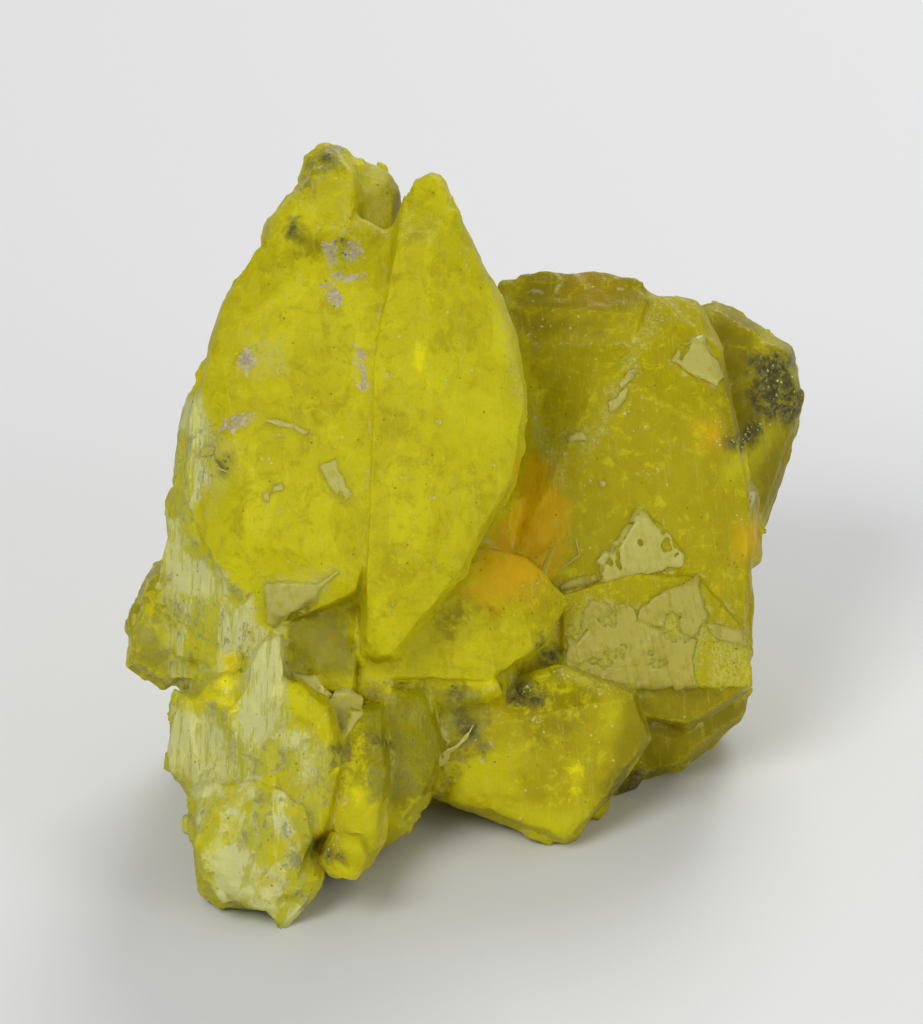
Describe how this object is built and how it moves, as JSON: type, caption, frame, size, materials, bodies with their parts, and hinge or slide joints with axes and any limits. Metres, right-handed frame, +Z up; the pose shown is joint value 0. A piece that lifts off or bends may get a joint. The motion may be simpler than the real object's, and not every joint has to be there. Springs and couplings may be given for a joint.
{
  "type": "jouravskite crystal cluster",
  "caption": "Mineral specimen: an intergrown cluster of stout translucent yellow crystals that stands on its broken base.",
  "frame": {"origin": "middle of the cluster's footprint, on the surface that it stands on", "axes": "+Z up; -Y towards the front, which shows the two large crystals; +X to the right seen from the front; the cluster's face leans back by 25 degrees"},
  "size_m": [0.0122, 0.0132, 0.0119],
  "materials": {
    "jouravskite": "satin"
  },
  "bodies": {
    "root": {"jouravskite_cluster": "jouravskite"}
  },
  "joints": []
}
